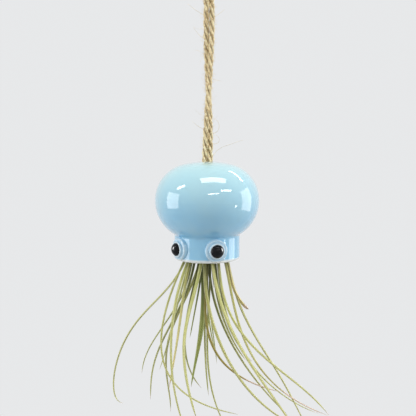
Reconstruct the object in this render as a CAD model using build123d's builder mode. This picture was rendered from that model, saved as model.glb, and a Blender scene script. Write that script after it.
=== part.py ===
"""Hanging air plant holder: a glazed bell with two bead eyes on a doubled twine.

Millimetres. The origin is where the twine loop bears on its hook, +Z is up, and
the bell's front, between the eyes, faces -Y. The air plant grows down out of the
bell's mouth.
"""

from build123d import *
import math
import os

# Twine: one length, doubled over a hook and knotted inside the bell
twine_radius = 1.9
strand_spread = 2.2
hook_radius = 4.0
loop_height = 34.0
cord_length = 124.0

# Bell
bell_radius = 35.0
crown_radius = 67.0
shoulder_radius = 25.0
belly_radius = 26.5
neck_radius = 22.0
neck_height = 16.7
wall = 4.5
rim_round = 2.0
crease_round = 1.8
cord_hole_clearance = 0.5
cord_hole_round = 1.2

# Eyes
eye_angle = 34.75
eye_height = 8.4
eye_ring_radius = 7.4
eye_ring_proud = 1.6
eye_ring_round = 1.1
eye_pad_radius = 5.3
eye_pad_thickness = 1.5
eye_pad_round = 0.7
bead_radius = 4.15
bead_edge = 0.9
bead_dome = 2.3
bead_seat_depth = 0.5
bead_seat_clearance = 0.15

# Stopper knot under the crown
knot_radius = 6.9
knot_height = 11.0
knot_waist = 0.8
knot_round = 1.3
seat_gap = 0.3
knot_flat_margin = 0.3
tail_length = 7.0
tail_lean = 0.6

# Air plant
plant_top_gap = 15.5
plant_base_height = 16.0
plant_base_tip = 3.0
leaf_span = 100.0
spread_turn = 19.55

# Air plant across, as shares of the mouth's radius
plant_base_share = 0.566
whorl_shares = {"outer": 0.474, "middle": 0.291, "inner": 0.12}
leaf_spread_share = 5.714
leaf_width_share = 0.154

# Leaf section and taper
keel_share = 0.30
face_share = 0.12
tip_width_share = 0.28
taper_power = 1.8
leaf_station_shares = (0.0, 0.06, 0.13, 0.21, 0.3, 0.4, 0.5, 0.6, 0.7, 0.79, 0.87, 0.94, 1.0)

# Derived levels
crown_offset = math.sqrt(
    (crown_radius - shoulder_radius) ** 2 - (bell_radius - shoulder_radius) ** 2
)
crown_rise = crown_radius - crown_offset
loop_foot_z = -loop_height
crown_z = loop_foot_z - cord_length
equator_z = crown_z - crown_rise
belly_x = bell_radius - belly_radius
crease_drop = math.sqrt(belly_radius**2 - (neck_radius - belly_x) ** 2)
rim_z = equator_z - crease_drop - neck_height
cord_radius = strand_spread + twine_radius
cord_hole_radius = cord_radius + cord_hole_clearance
plant_disc_z = rim_z + plant_top_gap
mouth_radius = neck_radius - wall
plant_base_radius = mouth_radius * plant_base_share
leaf_spread = mouth_radius * leaf_spread_share
leaf_width = mouth_radius * leaf_width_share

# Where the doubled twine turns on its way up: across, towards the back, above the crown
twine_route = [
    (1.18, 1.86, 20.0),
    (-0.40, 2.16, 41.0),
    (-1.82, 1.24, 63.0),
    (-2.18, -0.33, 84.0),
    (-1.37, -1.72, 105.0),
]
knot_exit_turn = 14.0
bend_share = 0.45
base_bulge_share = 0.8

# Each leaf: name, width share, angle of its root, then its places from the middle of the
# rim: right and away as shares of the leaf spread, and up as a share of the leaf span.
# The last place is the tip, and the others draw the curve.
leaf_shares = {
    "outer": [
        ("far_left", 0.9, 180, (-0.15, 0.00, -0.05), (-0.24, 0.04, -0.35), (-0.53, 0.04, -0.35),
         (-0.58, 0.06, -0.44), (-0.77, 0.08, -1.02), (-0.59, 0.09, -1.04)),
        ("hook_left", 0.75, 206, (-0.32, -0.13, -0.32), (-0.53, -0.19, -0.87), (0.20, -0.30, -0.96)),
        ("fine_left", 0.8, 154, (-0.13, 0.06, -0.07), (-0.09, 0.16, -0.31), (-0.30, 0.20, -0.49),
         (-0.46, 0.26, -0.66), (-0.48, 0.31, -0.90)),
        ("back_left", 0.9, 129, (-0.12, 0.07, -0.13), (-0.08, 0.22, -0.40), (-0.42, 0.26, -0.60),
         (-0.42, 0.36, -0.88), (-0.43, 0.44, -1.15)),
        ("front_left", 1.1, 231, (-0.28, -0.18, -0.25), (-0.28, -0.43, -0.69), (-0.11, -0.40, -1.08)),
        ("front_middle", 1.1, 257, (-0.06, -0.25, -0.32), (-0.25, -0.43, -0.34), (-0.06, -0.60, -0.87)),
        ("front_bright", 1.1, 283, (0.05, -0.35, -0.38), (0.25, -0.49, -0.54), (0.55, -0.62, -0.96)),
        ("front_right", 0.8, 309, (0.13, -0.09, -0.12), (-0.02, -0.31, -0.37), (0.36, -0.33, -0.61),
         (0.56, -0.44, -0.66), (0.74, -0.50, -0.88)),
        ("long_right", 1.0, 334, (0.20, -0.07, -0.17), (0.13, -0.16, -0.61), (0.42, -0.18, -0.88),
         (0.79, -0.22, -1.00)),
        ("far_right", 1.0, 12, (0.23, 0.11, -0.13), (0.08, 0.06, -0.51), (0.56, 0.14, -0.68),
         (0.56, 0.13, -1.02), (0.75, 0.14, -1.29)),
        ("back_right", 0.9, 36, (0.09, 0.10, -0.26), (0.09, 0.31, -0.68), (0.44, 0.30, -1.07),
         (0.83, 0.34, -1.22)),
        ("back_middle", 0.9, 60, (0.05, 0.04, -0.18), (0.05, 0.43, -0.32), (0.13, 0.47, -0.66),
         (0.30, 0.54, -0.88)),
    ],
    "middle": [
        ("short_left", 0.8, 198, (-0.18, -0.01, -0.14), (-0.22, -0.09, -0.45), (-0.32, -0.08, -0.74)),
        ("dry_left", 0.9, 234, (-0.19, -0.06, -0.06), (-0.14, -0.23, -0.32), (-0.21, -0.20, -0.57),
         (-0.25, -0.19, -0.83)),
        ("sweep_front", 1.0, 270, (-0.08, -0.17, -0.28), (0.13, -0.26, -0.82), (0.53, -0.28, -1.02)),
        ("brown_front", 0.9, 306, (-0.04, -0.09, -0.38), (-0.09, -0.11, -0.74), (0.49, -0.12, -0.88)),
        ("fine_right", 0.8, 342, (0.06, 0.04, -0.16), (0.09, 0.09, -0.53), (0.32, 0.14, -0.76)),
        ("broken_right", 0.85, 18, (0.19, -0.06, -0.02), (0.13, 0.03, -0.09), (0.17, 0.01, -0.26),
         (0.28, -0.03, -0.34)),
        ("sweep_back", 0.9, 54, (-0.03, 0.09, -0.20), (0.08, 0.20, -0.57), (0.30, 0.15, -0.88),
         (0.56, 0.06, -1.11)),
        ("long_back", 0.9, 90, (-0.08, 0.13, -0.16), (-0.11, 0.35, -0.42), (-0.50, 0.41, -0.65),
         (-0.26, 0.53, -1.03), (-0.29, 0.62, -1.32)),
        ("curl_back", 0.8, 126, (-0.06, 0.08, -0.09), (-0.10, 0.16, -0.29), (-0.20, 0.19, -0.52),
         (-0.21, 0.21, -0.79), (-0.04, 0.22, -0.98)),
        ("straight_left", 0.9, 162, (0.00, 0.02, -0.23), (-0.04, 0.07, -0.60), (0.01, 0.08, -0.98)),
    ],
    "inner": [
        ("green_wide", 1.05, 200, (-0.07, -0.01, -0.10), (0.03, -0.01, -0.38), (-0.08, -0.01, -0.62),
         (-0.11, 0.00, -0.89)),
        ("young_front", 0.7, 272, (-0.01, -0.03, -0.12), (-0.01, -0.06, -0.36), (0.05, -0.06, -0.60)),
        ("long_middle", 0.8, 344, (0.05, 0.00, -0.33), (-0.10, 0.06, -0.80), (0.15, 0.08, -1.24)),
        ("young_right", 0.7, 56, (-0.04, 0.06, -0.15), (0.04, 0.19, -0.47), (0.07, 0.22, -0.80)),
        ("young_back", 0.7, 128, (-0.03, 0.07, -0.12), (-0.08, 0.09, -0.33), (-0.12, 0.09, -0.57)),
    ],
}

ring_reach = neck_radius + eye_ring_proud
pad_reach = ring_reach + eye_pad_thickness
bead_reach = pad_reach - bead_seat_depth
eye_steps = [
    (eye_ring_radius, ring_reach, eye_ring_round),
    (eye_pad_radius, pad_reach, eye_pad_round),
]

os.makedirs("parts", exist_ok=True)


def save(piece, label):
    """Label a finished piece and write it as its own STEP file."""
    piece.part.label = label
    export_step(piece.part, f"parts/{label}.step")


def bell_outline(inset):
    """Half of the bell's section, inset from the glazed surface, closed on the axis."""
    shoulder_x = bell_radius - shoulder_radius
    meet = math.degrees(math.atan2(crown_offset, shoulder_x))
    belly = belly_radius - inset
    neck = neck_radius - inset
    under = math.degrees(math.acos((neck - belly_x) / belly))
    crease = (neck, equator_z - belly * math.sin(math.radians(under)))
    CenterArc((0, equator_z - crown_offset), crown_radius - inset, meet, 90 - meet)
    CenterArc((shoulder_x, equator_z), shoulder_radius - inset, 0, meet)
    CenterArc((belly_x, equator_z), belly, -under, under)
    Polyline(crease, (neck, rim_z), (0, rim_z), (0, crown_z - inset))
    return crease


def eye_plane(side, reach):
    """A plane square to an eye's axis, at a distance from the bell's axis."""
    turn = math.radians(eye_angle) * side
    out = Vector(math.sin(turn), -math.cos(turn), 0)
    origin = out * reach + Vector(0, 0, rim_z + eye_height)
    return Plane(origin=origin, x_dir=Vector(0, 0, 1), z_dir=out)


def cord_bends(points):
    """The largest tangent arc for each corner of a cord's route."""
    bends = []
    for before, corner, after in zip(points, points[1:], points[2:]):
        arriving = corner - before
        leaving = after - corner
        turn = math.radians(arriving.get_angle(leaving))
        run = min(arriving.length, leaving.length)
        bends.append(bend_share * run / math.tan(turn / 2))
    return bends


def leaf_curve(whorl, angle, places):
    """A leaf's middle line, in the part's frame, from the plant's base to its tip."""
    turn = math.radians(angle)
    ring = mouth_radius * whorl_shares[whorl]
    root = Vector(ring * math.cos(turn), ring * math.sin(turn), plant_disc_z)
    rest = [
        Vector(x * leaf_spread, y * leaf_spread, rim_z + z * leaf_span)
        for x, y, z in places
    ]
    points = [point.rotate(Axis.Z, spread_turn) for point in (root, *rest)]
    return Bezier(*points, mode=Mode.PRIVATE), points[0]


def leaf_sections(curve, root, width):
    """Planes along a leaf, flat side outwards, each with the width of the leaf there."""
    side = Vector(0, 0, 1).cross(Vector(root.X, root.Y, 0)).normalized()
    for share in leaf_station_shares:
        along = curve % share if share else Vector(0, 0, -1)
        side = (side - along * side.dot(along)).normalized()
        taper = 1 - (1 - tip_width_share) * share**taper_power
        yield Plane(origin=curve @ share, x_dir=side, z_dir=along), width * taper


def grow_leaves(whorl):
    """Each leaf of one whorl, as a tapering blade with a keel on its outer side."""
    for name, width_share, angle, *places in leaf_shares[whorl]:
        curve, root = leaf_curve(whorl, angle, places)
        blade = []
        for plane, width in leaf_sections(curve, root, leaf_width * width_share):
            with BuildSketch(plane, mode=Mode.PRIVATE) as section:
                half = width / 2
                keel = width * keel_share
                face = width * face_share
                with BuildLine():
                    Polyline((-half, 0), (0, -face), (half, 0), (0, keel), close=True)
                make_face()
            blade.append(section.sketch)
        add(loft(blade, ruled=True, mode=Mode.PRIVATE))


with BuildPart() as glazed_bell:
    with BuildSketch(Plane.XZ) as bell_section:
        with BuildLine():
            outer_crease = bell_outline(0)
        make_face()
        with BuildLine():
            inner_crease = bell_outline(wall)
        make_face(mode=Mode.SUBTRACT)
        with Locations((0, crown_z)):
            Rectangle(2 * cord_hole_radius, 4 * wall, mode=Mode.SUBTRACT)
        fillet(bell_section.vertices().sort_by_distance(outer_crease)[0], crease_round)
        inner_corner = bell_section.vertices().sort_by_distance(inner_crease)[0]
        fillet(inner_corner, crease_round + wall)
        fillet(bell_section.vertices().group_by(Axis.Y)[0], rim_round)
        fillet(bell_section.vertices().group_by(Axis.X)[0], cord_hole_round)
    revolve(axis=Axis.Z)
    for side in (-1, 1):
        for radius, reach, rounding in eye_steps:
            with BuildSketch(eye_plane(side, neck_radius - wall / 2)):
                Circle(radius)
            extrude(amount=reach - neck_radius + wall / 2)
            front = glazed_bell.faces().sort_by_distance(eye_plane(side, reach).origin)[0]
            fillet(front.edges(), rounding)
        with BuildSketch(eye_plane(side, bead_reach)):
            Circle(bead_radius + bead_seat_clearance)
        extrude(amount=eye_pad_thickness, mode=Mode.SUBTRACT)
save(glazed_bell, "glazed_bell")

for side, label in ((-1, "left_eye_bead"), (1, "right_eye_bead")):
    seat = eye_plane(side, bead_reach)
    with BuildPart() as eye_bead:
        with BuildSketch(Plane(origin=seat.origin, x_dir=seat.z_dir, z_dir=seat.y_dir)):
            with BuildLine():
                edge_top = (bead_edge, bead_radius)
                Polyline((bead_edge + bead_dome, 0), (0, 0), (0, bead_radius), edge_top)
                dome_radius = (bead_radius**2 + bead_dome**2) / (2 * bead_dome)
                RadiusArc(edge_top, (bead_edge + bead_dome, 0), dome_radius)
            make_face()
        revolve(axis=Axis(seat.origin, seat.z_dir))
    save(eye_bead, label)

with BuildPart() as twine_loop:
    with BuildLine() as loop_path:
        arch_radius = hook_radius + twine_radius
        down = loop_height - hook_radius
        away = math.hypot(strand_spread, down)
        lean = math.asin(arch_radius / away) - math.atan2(strand_spread, down)
        tangent = (arch_radius * math.cos(lean), -hook_radius - arch_radius * math.sin(lean))
        foot = (strand_spread - twine_radius * math.tan(lean), loop_foot_z - twine_radius)
        Line((0, -foot[0], foot[1]), (0, -tangent[0], tangent[1]))
        ThreePointArc((0, -tangent[0], tangent[1]), (0, 0, twine_radius), (0, *tangent))
        Line((0, *tangent), (0, *foot))
    with BuildSketch(Plane(origin=loop_path.line @ 0, z_dir=loop_path.line % 0)):
        Circle(twine_radius)
    sweep()
    split(bisect_by=Plane.XY.offset(loop_foot_z), keep=Keep.TOP)
save(twine_loop, "twine_loop")

crown_sag = knot_radius**2 / (2 * (crown_radius - wall))
knot_top_z = crown_z - wall - crown_sag - seat_gap

with BuildPart() as twine_legs:
    for way in (1, -1):
        middle = [Vector(way * x, way * y, crown_z + h) for x, y, h in twine_route]
        exit_point = Vector(way * strand_spread, 0, knot_top_z - twine_radius)
        start = exit_point.rotate(Axis.Z, knot_exit_turn)
        end = Vector(0, -way * strand_spread, loop_foot_z + twine_radius)
        route = [start, *middle, end]
        bends = cord_bends(route)
        with BuildLine() as leg_path:
            FilletPolyline(*route, radius=bends)
        with BuildSketch(Plane(origin=leg_path.line @ 0, z_dir=leg_path.line % 0)):
            Circle(twine_radius)
        sweep()
    leg_length = sum(edge.length for edge in leg_path.edges())
    tube_volume = math.pi * twine_radius**2 * leg_length
    print("twine leg bends, mm:", [round(bend) for bend in bends])
    print("twine leg length, mm:", round(leg_length, 1))
    print("volume over section times length:", round(twine_legs.part.volume / tube_volume / 2, 4))
    split(bisect_by=Plane.XY.offset(loop_foot_z), keep=Keep.BOTTOM)
    split(bisect_by=Plane.XY.offset(knot_top_z), keep=Keep.TOP)
save(twine_legs, "twine_legs")

with BuildPart() as stopper_knot:
    knot_flat = cord_radius + knot_flat_margin
    knot_middle_z = knot_top_z - knot_height / 2
    knot_bottom_z = knot_top_z - knot_height
    waist = knot_radius - knot_waist
    with BuildSketch(Plane.XZ):
        with BuildLine():
            upper = (knot_radius, (knot_top_z + knot_middle_z) / 2)
            lower = (knot_radius, (knot_bottom_z + knot_middle_z) / 2)
            ThreePointArc((knot_flat, knot_top_z), upper, (waist, knot_middle_z))
            ThreePointArc((waist, knot_middle_z), lower, (knot_flat, knot_bottom_z))
            under = [(knot_flat, knot_bottom_z), (0, knot_bottom_z)]
            Polyline(*under, (0, knot_top_z), (knot_flat, knot_top_z))
        make_face()
    revolve(axis=Axis.Z)
    for way in (1, -1):
        tail_way = Vector(way * tail_lean, 0, -1).normalized()
        tail_start = Vector(way * strand_spread, 0, knot_bottom_z + knot_round)
        with BuildSketch(Plane(origin=tail_start, z_dir=tail_way)):
            Circle(twine_radius)
        extrude(amount=tail_length + knot_round)
save(stopper_knot, "stopper_knot")

with BuildPart() as plant_base:
    base_top_z = plant_disc_z + plant_base_height
    with BuildSketch(Plane.XZ):
        with BuildLine():
            disc_edge = (plant_base_radius, plant_disc_z)
            shoulder = (plant_base_radius * base_bulge_share, plant_disc_z + plant_base_height / 2)
            ThreePointArc(disc_edge, shoulder, (plant_base_tip, base_top_z))
            Polyline((plant_base_tip, base_top_z), (0, base_top_z), (0, plant_disc_z), disc_edge)
        make_face()
    revolve(axis=Axis.Z)
    fillet(plant_base.faces().sort_by(Axis.Z)[-1].edges(), plant_base_tip / 2)
save(plant_base, "plant_base")

with BuildPart() as outer_leaves:
    grow_leaves("outer")
save(outer_leaves, "outer_leaves")

with BuildPart() as middle_leaves:
    grow_leaves("middle")
save(middle_leaves, "middle_leaves")

with BuildPart() as inner_leaves:
    grow_leaves("inner")
save(inner_leaves, "inner_leaves")
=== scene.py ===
"""Hanging air plant holder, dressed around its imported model.

Metres, in the part's own frame. The origin is where the twine bears on its hook, +Z is
up, and the bell's front, between its eyes, faces -Y.
"""

import math
import random

import bmesh
import bpy
from mathutils import Matrix, Vector, noise
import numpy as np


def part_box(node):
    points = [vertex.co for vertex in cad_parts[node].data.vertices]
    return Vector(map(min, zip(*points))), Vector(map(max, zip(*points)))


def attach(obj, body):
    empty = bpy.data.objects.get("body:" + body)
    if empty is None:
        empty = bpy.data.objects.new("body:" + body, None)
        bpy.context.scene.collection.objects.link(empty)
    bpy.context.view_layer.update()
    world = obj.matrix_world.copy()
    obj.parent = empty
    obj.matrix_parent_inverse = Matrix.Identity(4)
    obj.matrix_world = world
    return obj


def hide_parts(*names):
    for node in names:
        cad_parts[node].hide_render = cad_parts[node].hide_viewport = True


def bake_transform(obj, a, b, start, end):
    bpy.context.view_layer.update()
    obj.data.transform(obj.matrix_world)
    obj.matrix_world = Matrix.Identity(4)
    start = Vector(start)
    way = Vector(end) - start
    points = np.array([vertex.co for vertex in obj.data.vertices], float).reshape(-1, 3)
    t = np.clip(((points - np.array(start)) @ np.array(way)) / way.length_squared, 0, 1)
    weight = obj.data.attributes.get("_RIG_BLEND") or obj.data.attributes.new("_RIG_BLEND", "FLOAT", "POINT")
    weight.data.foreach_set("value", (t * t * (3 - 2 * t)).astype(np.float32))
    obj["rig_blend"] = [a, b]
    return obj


bl_info = {
    "name": "Air Plant Holder",
    "version": (1, 0, 0),
    "blender": (4, 5, 0),
    "location": "View3D > Sidebar > Plant Holder",
    "description": "Dresses a glazed bell, its doubled twine and its air plant",
    "category": "Object",
}

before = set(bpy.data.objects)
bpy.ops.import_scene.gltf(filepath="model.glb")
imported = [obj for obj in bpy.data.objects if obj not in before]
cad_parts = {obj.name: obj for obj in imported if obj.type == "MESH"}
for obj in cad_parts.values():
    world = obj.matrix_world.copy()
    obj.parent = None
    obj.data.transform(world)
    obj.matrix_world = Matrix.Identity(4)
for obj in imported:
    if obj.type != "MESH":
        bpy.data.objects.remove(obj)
bell_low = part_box("glazed_bell")[0]
base_low, base_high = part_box("plant_base")
knot_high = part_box("stopper_knot")[1]
legs_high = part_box("twine_legs")[1]

# Levels that the whole part shares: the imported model's, then the knot's foot, and the bell's
# crown and widest level
RIM_Z = bell_low.z
DISC_Z = base_low.z
BASE_TOP_Z = base_high.z
KNOT_TOP_Z = knot_high.z
LOOP_FOOT_Z = legs_high.z
KNOT_HEIGHT = 0.011
KNOT_FOOT_Z = KNOT_TOP_Z - KNOT_HEIGHT
CROWN_Z = -0.158
BELL_MIDDLE_Z = -0.1842

# The eyes: how far round, above the rim and out from the axis. Then the rings where the
# glaze runs thin over their edges, whitened further as a painted highlight on their rounded
# steps: inner and outer radius and how white each is.
EYE_TURN = math.radians(34.75)
EYE_HEIGHT = 0.0084
EYE_REACH = 0.0246
EYE_THIN_AND_HIGHLIGHT_RINGS = ((0.0, 0.0072, 0.30), (0.0044, 0.0049, 0.60), (0.0065, 0.0071, 0.42))
EYE_RING_SOFTNESS = 0.0006

# How far round the camera stands, how far off the twine it aims, and its right and near
VIEW_TURN = math.radians(19.55)
VIEW_ASIDE = math.radians(0.08)
VIEW_RIGHT = Vector((math.cos(VIEW_TURN), math.sin(VIEW_TURN), 0))
VIEW_NEAR = Vector((math.sin(VIEW_TURN), -math.cos(VIEW_TURN), 0))

# Where each leg of the twine turns on its way up: across, towards the back, above the crown
LEG_TURNS = (
    (0.00104, 0.00163, 0.020),
    (-0.00036, 0.00192, 0.041),
    (-0.00163, 0.00111, 0.063),
    (-0.00196, -0.00030, 0.084),
    (-0.00130, -0.00165, 0.105),
)
# How far both legs lean to the right there
LEG_LEANS = (0.0007, 0.0009, 0.0011, 0.0013, 0.0014)

# How far round the legs leave the knot, the twine's places per turn, and half of the run
# over which it bends where it swings
KNOT_EXIT_TURN = math.radians(14)
LINE_STEPS = 30
BEND_REACH = 0.009

# Plies of a strand, steps round each, the share of the radius that their grooves keep, what
# each point carries, and how coarse fibres push in and out: the noises' scales and shares,
# then the amounts
PLY_COUNT = 3
PLY_STEPS = 8
GROOVE_SHARE = 0.62
STRAND_LAYERS = ("around", "way", "groove")
FIBRE_NOISES = ((620, 0.6), (1900, 0.4))
STRAND_ROUGHNESS = 0.00040
KNOT_ROUGHNESS = 0.00022

# The knot: its wraps, the share of its reach where they start and end, and the room above
# them. Then how far across each tail starts, and its places on the way down: across, to one
# side and above the knot's foot. Then how many short and long fibres stand off it.
WRAP_TURNS = 1.8
WRAP_POINTS = 20
WRAP_END_SHARE = 0.3
WRAP_ROOM = 0.0002
TAIL_START = 0.0016
TAIL_PLACES = ((0.0016, 0, 0.003), (0.0026, 0, 0), (0.0050, 0.0006, -0.0035), (0.0060, 0.0002, -0.0060))
KNOT_HAIRS = (170, 8)

# Loose fibres: their radius, how far out of a strand's middle they start, how much thicker the
# ones that show are, and then each kind's least and most length, its bends, how much it curls
# and its least and most thickness
HAIR_RADIUS = 0.000065
HAIR_START = 0.84
SHOWN_THICKNESS = 1.8
SHORT_HAIR = ((0.0009, 0.0034), 3, 2.2, (0.7, 1.3))
LONG_HAIR = ((0.004, 0.011), 5, 3.2, (0.8, 1.5))

# Loose fibres that show beside the twine: right of it, towards the camera, above the crown
SHOWN_HAIRS = (
    ((0.0022, 0.001, 0.0005), (0.0045, 0.002, 0.0050), (0.0085, 0.003, 0.0088),
     (0.0155, 0.003, 0.0112), (0.0238, 0.002, 0.0140)),
    ((0.0020, 0.001, 0.0120), (0.0062, 0.002, 0.0105), (0.0088, 0.003, 0.0142),
     (0.0065, 0.003, 0.0178), (0.0030, 0.002, 0.0170)),
    ((0.0018, 0.001, 0.0185), (0.0060, 0.002, 0.0178), (0.0086, 0.003, 0.0228),
     (0.0066, 0.003, 0.0278), (0.0028, 0.002, 0.0285)),
    ((-0.0020, 0.001, 0.0210), (-0.0060, 0.002, 0.0225), (-0.0098, 0.003, 0.0260)),
    ((0.0018, 0.001, 0.0550), (0.0050, 0.002, 0.0530), (0.0094, 0.002, 0.0525)),
    ((-0.0020, 0.001, 0.0950), (-0.0070, 0.002, 0.0975), (-0.0125, 0.002, 0.1020)),
    ((0.0020, 0.001, 0.0920), (0.0070, 0.002, 0.0950), (0.0115, 0.002, 0.0985)),
    ((-0.0020, 0.001, 0.0800), (-0.0052, 0.003, 0.0810), (-0.0088, 0.003, 0.0868)),
)

# Each leaf: name, width share, angle of its root, then its places from the middle of the
# rim: right and away as shares of the spread, and up as a share of the span. Then how
# yellow it is, how browned, and how much of its tip has dried.
LEAVES = {
    "outer_leaves": (
        ("far_left", 0.85, 180, (-0.15, 0.00, -0.05), (-0.24, 0.04, -0.35), (-0.53, 0.04, -0.35),
         (-0.58, 0.06, -0.44), (-0.77, 0.08, -1.02), (-0.59, 0.09, -1.04), 0.50, 0.00, 0.02),
        ("hook_left", 0.75, 206, (-0.32, -0.13, -0.32), (-0.53, -0.19, -0.87),
         (0.20, -0.30, -0.96), 0.42, 0.00, 0.02),
        ("fine_left", 0.80, 154, (-0.13, 0.06, -0.07), (-0.09, 0.16, -0.31), (-0.30, 0.20, -0.49),
         (-0.46, 0.26, -0.66), (-0.48, 0.31, -0.90), 0.28, 0.00, 0.03),
        ("back_left", 0.90, 129, (-0.12, 0.07, -0.13), (-0.08, 0.22, -0.40), (-0.42, 0.26, -0.60),
         (-0.42, 0.36, -0.88), (-0.43, 0.44, -1.15), 0.32, 0.00, 0.04),
        ("front_left", 1.00, 231, (-0.28, -0.18, -0.25), (-0.28, -0.43, -0.69),
         (-0.11, -0.40, -1.08), 0.42, 0.00, 0.03),
        ("front_middle", 1.05, 257, (-0.06, -0.25, -0.32), (-0.25, -0.43, -0.34),
         (-0.06, -0.60, -0.87), 0.38, 0.00, 0.04),
        ("front_bright", 0.95, 283, (0.05, -0.35, -0.38), (0.25, -0.49, -0.54),
         (0.55, -0.62, -0.96), 0.50, 0.00, 0.02),
        ("front_right", 0.80, 309, (0.13, -0.09, -0.12), (-0.02, -0.31, -0.37), (0.36, -0.33, -0.61),
         (0.56, -0.44, -0.66), (0.74, -0.50, -0.88), 0.46, 0.00, 0.03),
        ("long_right", 1.00, 334, (0.20, -0.07, -0.17), (0.13, -0.16, -0.61), (0.42, -0.18, -0.88),
         (0.79, -0.22, -1.00), 0.66, 0.15, 0.40),
        ("far_right", 1.00, 12, (0.23, 0.11, -0.13), (0.08, 0.06, -0.51), (0.56, 0.14, -0.68),
         (0.56, 0.13, -1.02), (0.75, 0.14, -1.29), 0.62, 0.00, 0.04),
        ("back_right", 0.90, 36, (0.09, 0.10, -0.26), (0.09, 0.31, -0.68), (0.44, 0.30, -1.07),
         (0.83, 0.34, -1.22), 0.34, 0.00, 0.05),
        ("back_middle", 0.90, 60, (0.05, 0.04, -0.18), (0.05, 0.43, -0.32), (0.13, 0.47, -0.66),
         (0.30, 0.54, -0.88), 0.38, 0.00, 0.04),
    ),
    "middle_leaves": (
        ("short_left", 0.80, 198, (-0.18, -0.01, -0.14), (-0.22, -0.09, -0.45),
         (-0.32, -0.08, -0.74), 0.25, 0.00, 0.03),
        ("dry_left", 0.90, 234, (-0.19, -0.06, -0.06), (-0.14, -0.23, -0.32), (-0.21, -0.20, -0.57),
         (-0.25, -0.19, -0.83), 0.80, 0.00, 0.07),
        ("sweep_front", 1.00, 270, (-0.08, -0.17, -0.28), (0.13, -0.26, -0.82),
         (0.53, -0.28, -1.02), 0.55, 0.00, 0.08),
        ("brown_front", 0.90, 306, (-0.04, -0.09, -0.38), (-0.09, -0.11, -0.74),
         (0.49, -0.12, -0.88), 0.70, 0.75, 0.34),
        ("fine_right", 0.80, 342, (0.06, 0.04, -0.16), (0.09, 0.09, -0.53),
         (0.32, 0.14, -0.76), 0.25, 0.00, 0.04),
        ("broken_right", 1.10, 18, (0.19, -0.06, -0.02), (0.13, 0.03, -0.09), (0.17, 0.01, -0.26),
         (0.28, -0.03, -0.34), 0.90, 0.00, 0.14),
        ("sweep_back", 0.90, 54, (-0.03, 0.09, -0.20), (0.08, 0.20, -0.57), (0.30, 0.15, -0.88),
         (0.56, 0.06, -1.11), 0.35, 0.00, 0.05),
        ("long_back", 0.90, 90, (-0.08, 0.13, -0.16), (-0.11, 0.35, -0.42), (-0.50, 0.41, -0.65),
         (-0.26, 0.53, -1.03), (-0.29, 0.62, -1.32), 0.60, 0.00, 0.04),
        ("curl_back", 0.80, 126, (-0.06, 0.08, -0.09), (-0.10, 0.16, -0.29), (-0.20, 0.19, -0.52),
         (-0.21, 0.21, -0.79), (-0.04, 0.22, -0.98), 0.32, 0.00, 0.05),
        ("straight_left", 0.90, 162, (0.00, 0.02, -0.23), (-0.04, 0.07, -0.60),
         (0.01, 0.08, -0.98), 0.30, 0.00, 0.03),
    ),
    "inner_leaves": (
        ("green_wide", 1.10, 200, (-0.07, -0.01, -0.10), (0.03, -0.01, -0.38), (-0.08, -0.01, -0.62),
         (-0.11, 0.00, -0.89), 0.10, 0.00, 0.02),
        ("young_front", 0.70, 272, (-0.01, -0.03, -0.12), (-0.01, -0.06, -0.36),
         (0.05, -0.06, -0.60), 0.18, 0.00, 0.02),
        ("long_middle", 0.80, 344, (0.05, 0.00, -0.33), (-0.10, 0.06, -0.80),
         (0.15, 0.08, -1.24), 0.30, 0.00, 0.04),
        ("young_right", 0.70, 56, (-0.04, 0.06, -0.15), (0.04, 0.19, -0.47),
         (0.07, 0.22, -0.80), 0.18, 0.00, 0.02),
        ("young_back", 0.70, 128, (-0.03, 0.07, -0.12), (-0.08, 0.09, -0.33),
         (-0.12, 0.09, -0.57), 0.14, 0.00, 0.02),
    ),
}
# How far out each whorl's roots are, in mouth radii, and how high its sheaths reach. Then how
# far in a sheath's top leans, how narrow it is there, and the run in which it widens.
WHORL_SHARES = {"outer_leaves": 0.474, "middle_leaves": 0.291, "inner_leaves": 0.12}
WHORL_SHEATHS = {"outer_leaves": 0.0085, "middle_leaves": 0.006, "inner_leaves": 0.004}
SHEATH_LEAN = 0.55
SHEATH_TOP = 0.35
SHEATH_RUN = 0.004

# Places along a sheath, its blade and a young blade, and points round them
SHEATH_STEPS = 5
BLADE_STEPS = 40
YOUNG_STEPS = 14
BLADE_SIDES = 12

# A blade's section, in widths: its back bulges, its front folds in, and it sits behind the line
BACK_BULGE = 1.3
FRONT_FOLD = -0.35
SECTION_DROP = 0.3

# How its width runs to the tip, how narrow the tip ends and how much it shrinks where it dries
TAPER_POWER = 2.2
POINT_RUN = 0.06
POINT_END = 0.12
DRY_RUN = 0.1
DRY_SHRINK = 0.2

# Which leaves are wider than that, by how much and where, and which broke off short
LEAF_SWELLS = {"green_wide": 0.75}
SWELL_PLACE = 0.62
SWELL_REACH = 0.2
BROKEN_LEAVES = ("broken_right",)
BROKEN_TIP = 0.85
BROKEN_POINT_RUN = 0.03

# How far a blade may twist, how far from its root it flares, and how much wider and deeper
BLADE_TWIST = 0.9
FLARE_RUN = 0.010
FLARE_WIDTH = 1.1
FLARE_DEPTH = 0.3

# What each point of a leaf carries
LEAF_LAYERS = ("around", "way", "along", "age", "worn", "dry")

# Young leaves, still folded together at the centre: how many, the degrees from one to the next,
# their width share, and least and most reach and drop
YOUNG_LEAVES = 11
YOUNG_TURN = 137.5
YOUNG_WIDTH = 0.55
YOUNG_REACHES = (0.02, 0.06)
YOUNG_DROPS = (0.04, 0.26)

# The heart's outline, from its top down: shares of the base's radius and height
HEART_OUTLINE = (
    (0.0, 1.0), (0.14, 0.99), (0.24, 0.93), (0.34, 0.78), (0.46, 0.60), (0.58, 0.42),
    (0.68, 0.26), (0.76, 0.12), (0.78, 0.0), (0.70, -0.10), (0.45, -0.16), (0.0, -0.20),
)
HEART_SIDES = 48

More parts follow.
